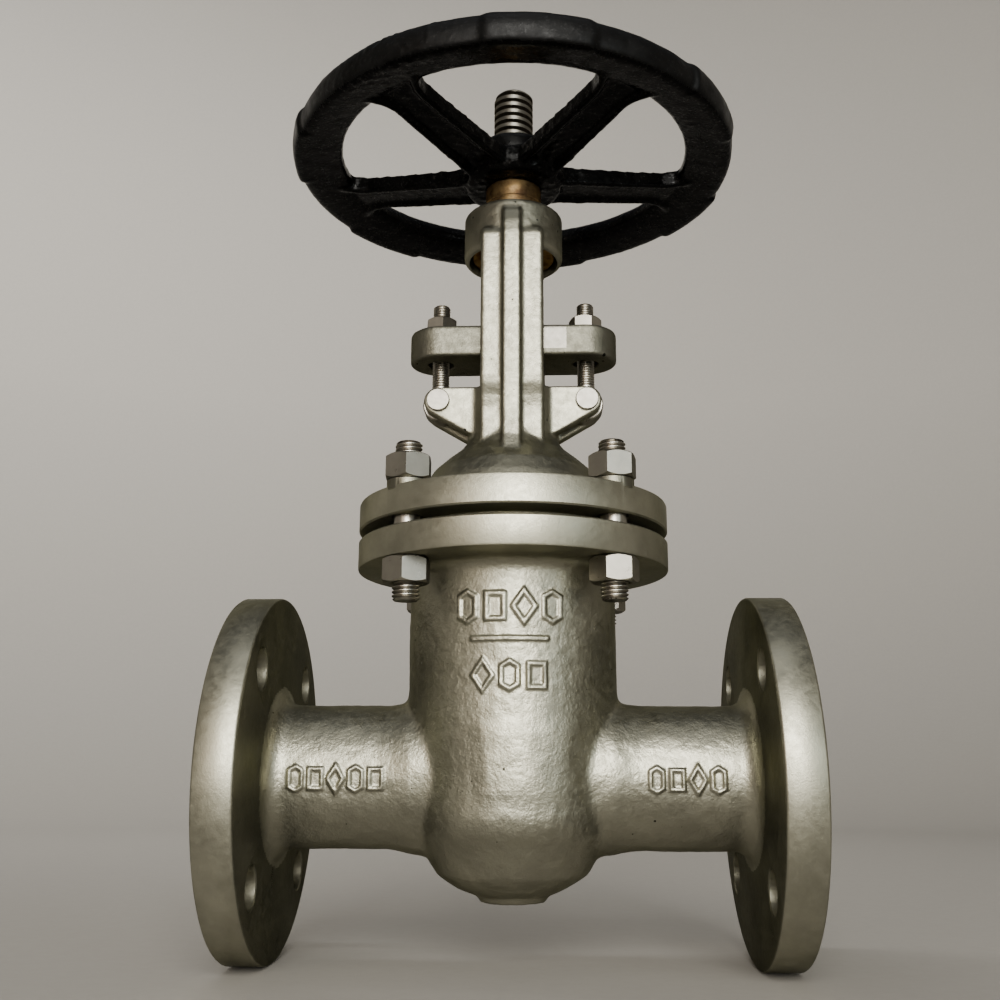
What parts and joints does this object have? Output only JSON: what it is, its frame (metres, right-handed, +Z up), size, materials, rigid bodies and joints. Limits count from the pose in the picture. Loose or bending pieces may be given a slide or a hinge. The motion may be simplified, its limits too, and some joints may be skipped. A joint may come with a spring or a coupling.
{
  "type": "gate valve",
  "caption": "Flanged wedge gate valve with rising stem, open yoke, bolted bonnet, hinged gland bolts and a round spoked handwheel.",
  "frame": {"origin": "where the axis of the bore meets the axis of the stem", "axes": "+Z up along the stem, X along the bore, +Y across it; the eyebolts lie at +-X and the yoke's arms at +-Y"},
  "size_m": [0.25, 0.2236, 0.424],
  "materials": {
    "cast_steel": "shot-blasted stainless casting",
    "bright_steel": "machined stainless steel",
    "bronze": "machined bronze",
    "black_enamel": "gloss black enamel on a casting",
    "graphite": "pressed graphite"
  },
  "bodies": {
    "valve_body": {"body": "cast_steel", "seat_ring_inlet": "bright_steel", "seat_ring_outlet": "bright_steel", "bonnet": "cast_steel", "bonnet_gasket": "graphite", "backseat_bush": "bright_steel", "packing_ring_1": "graphite", "packing_ring_2": "graphite", "packing_ring_3": "graphite", "packing_ring_4": "graphite", "packing_ring_5": "graphite", "eyebolt_left": "bright_steel", "eyebolt_right": "bright_steel", "eyebolt_pin_left": "bright_steel", "eyebolt_pin_right": "bright_steel", "stud_front_left": "bright_steel", "stud_front_right": "bright_steel", "stud_back_left": "bright_steel", "stud_back_right": "bright_steel", "nut_lower_front_left": "bright_steel", "nut_lower_front_right": "bright_steel", "nut_lower_back_left": "bright_steel", "nut_lower_back_right": "bright_steel", "nut_upper_front_left": "bright_steel", "nut_upper_front_right": "bright_steel", "nut_upper_back_left": "bright_steel", "nut_upper_back_right": "bright_steel"},
    "handwheel": {"handwheel": "black_enamel", "stem_nut": "bronze", "wheel_key": "bright_steel", "wheel_nut": "black_enamel"},
    "stem": {"stem": "bright_steel", "wedge": "bright_steel"},
    "gland": {"gland_flange": "cast_steel", "gland_bush": "bright_steel"},
    "gland_nut_left": {"gland_nut_left": "bright_steel"},
    "gland_nut_right": {"gland_nut_right": "bright_steel"}
  },
  "joints": [
    {"name": "wheel_turn", "type": "hinge", "parent": "valve_body", "child": "handwheel", "pos_m": [0, 0, 0.29], "axis": [0, 0, 1], "range_deg": [0, 4950]},
    {"name": "stem_lift", "type": "slide", "parent": "valve_body", "child": "stem", "axis": [0, 0, 1], "range_m": [0, 0.0551]},
    {"name": "gland_slide", "type": "slide", "parent": "valve_body", "child": "gland", "axis": [0, 0, 1], "range_m": [-0.002, 0.006], "deforming": ["packing_ring_5"]},
    {"name": "gland_nut_left_turn", "type": "hinge", "parent": "gland", "child": "gland_nut_left", "pos_m": [-0.0355, 0, 0.2118], "axis": [0, 0, 1], "range_deg": [-577, 1729.2]},
    {"name": "gland_nut_right_turn", "type": "hinge", "parent": "gland", "child": "gland_nut_right", "pos_m": [0.0355, 0, 0.2118], "axis": [0, 0, 1], "range_deg": [-577, 1729.2]}
  ],
  "couplings": [
    {"joint": "stem_lift", "follows": "wheel_turn", "m_per_rad": 0.00063662},
    {"joint": "gland_nut_left_turn", "follows": "gland_slide", "rad_per_m": 5026.6},
    {"joint": "gland_nut_right_turn", "follows": "gland_slide", "rad_per_m": 5026.6}
  ]
}
